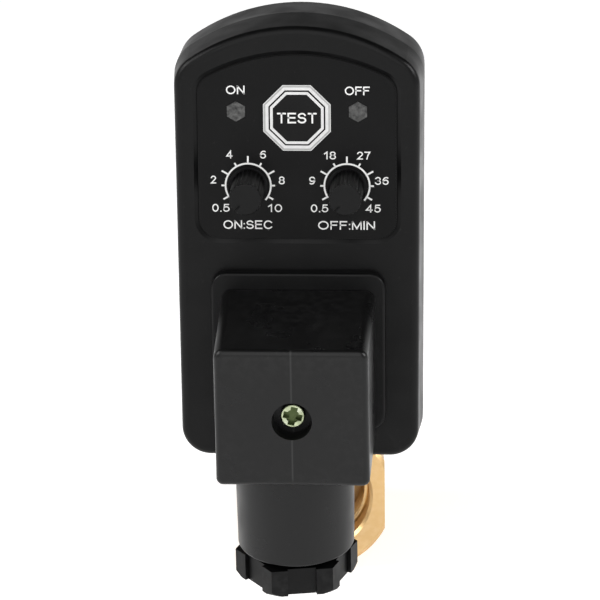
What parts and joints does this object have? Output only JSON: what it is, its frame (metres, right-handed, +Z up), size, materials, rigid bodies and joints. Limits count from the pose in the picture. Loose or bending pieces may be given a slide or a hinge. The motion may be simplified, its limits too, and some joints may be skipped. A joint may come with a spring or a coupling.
{
  "type": "timer drain valve",
  "caption": "Automatic drain valve: brass two-way valve with a solenoid, a plug-in timer box with two dials, and a cable connector with a gland.",
  "frame": {"origin": "on the axis of the inlet port at the back of the brass body, 1 mm inside its mouth", "axes": "+X to the right of the timer's face, +Y from the timer towards the coil and the inlet port, +Z up along the armature tube"},
  "size_m": [0.0464, 0.0937, 0.1135],
  "materials": {
    "brass": "satin",
    "black_plastic": "satin",
    "label_film": "matte",
    "clear_led": "frosted",
    "button_plastic": "satin",
    "knob_plastic": "satin",
    "zinc_steel": "yellow zinc plated",
    "stainless": "satin",
    "tin_contact": "tin plated",
    "rubber": "matte",
    "copper_wire": "enamelled copper",
    "board_green": "satin",
    "white_plastic": "satin",
    "component_black": "satin",
    "capacitor_sleeve": "gloss"
  },
  "bodies": {
    "valve_body": {"brass_body": "brass", "armature_tube": "stainless", "tube_oring": "rubber", "fixed_core": "stainless", "shading_ring": "copper_wire", "plunger_spring": "stainless"},
    "plunger_set": {"plunger": "stainless", "plunger_seal": "rubber"},
    "head": {"front_cover": "black_plastic", "rear_cover": "black_plastic", "cover_screws": "zinc_steel", "front_label": "label_film", "led_on": "clear_led", "led_off": "clear_led", "circuit_board": "board_green", "on_time_potentiometer": "component_black", "off_time_potentiometer": "component_black", "test_switch": "component_black", "capacitor": "capacitor_sleeve", "timer_chip": "component_black", "switching_transistor": "component_black", "power_blades": "tin_contact", "earth_blade": "tin_contact", "rear_socket": "black_plastic", "rear_contacts": "tin_contact", "timer_gasket": "rubber", "coil_body": "black_plastic", "coil_screw_insert": "brass", "coil_blades": "tin_contact", "coil_bobbin": "white_plastic", "coil_winding": "copper_wire", "coil_yoke": "zinc_steel"},
    "nut_set": {"coil_nut": "zinc_steel", "coil_washer": "stainless"},
    "button": {"test_button": "button_plastic"},
    "on_knob": {"on_time_knob": "knob_plastic"},
    "off_knob": {"off_time_knob": "knob_plastic"},
    "connector": {"connector_housing": "black_plastic", "terminal_insert": "black_plastic", "contact_sockets": "tin_contact", "terminal_screws": "zinc_steel", "connector_gasket": "rubber", "gland_grommet": "rubber", "gland_washer": "stainless"},
    "fixing_screw": {"connector_screw": "zinc_steel"},
    "cable_gland": {"gland_nut": "black_plastic"}
  },
  "joints": [
    {"name": "head_swivel", "type": "hinge", "parent": "valve_body", "child": "head", "pos_m": [0.00161, -0.02094, 0.0355], "axis": [0, 0, 1], "continuous": true},
    {"name": "plunger_lift", "type": "slide", "parent": "valve_body", "child": "plunger_set", "axis": [0, 0, 1], "range_m": [0, 0.002], "stiffness_N_per_m": 200, "springref_m": -0.005, "deforming": ["plunger_spring"]},
    {"name": "coil_nut_turn", "type": "hinge", "parent": "valve_body", "child": "nut_set", "pos_m": [0.00161, -0.02094, 0.0545], "axis": [0, 0, 1], "continuous": true},
    {"name": "test_press", "type": "slide", "parent": "head", "child": "button", "axis": [0, 1, 0], "range_m": [0, 0.0005], "stiffness_N_per_m": 600, "springref_m": -0.001},
    {"name": "on_time_turn", "type": "hinge", "parent": "head", "child": "on_knob", "pos_m": [-0.0075, -0.06344, 0.0677], "axis": [0, 1, 0], "range_deg": [0, 255]},
    {"name": "off_time_turn", "type": "hinge", "parent": "head", "child": "off_knob", "pos_m": [0.01072, -0.06344, 0.0677], "axis": [0, 1, 0], "range_deg": [0, 255]},
    {"name": "connector_unplug", "type": "slide", "parent": "head", "child": "connector", "axis": [0, -1, 0], "range_m": [0, 0.012]},
    {"name": "fixing_screw_turn", "type": "hinge", "parent": "connector", "child": "fixing_screw", "pos_m": [0.00161, -0.08644, 0.03107], "axis": [0, 1, 0], "continuous": true},
    {"name": "gland_nut_turn", "type": "hinge", "parent": "connector", "child": "cable_gland", "pos_m": [0.00131, -0.07335, -0.00027], "axis": [0, -0.153, 0.9882], "continuous": true}
  ]
}
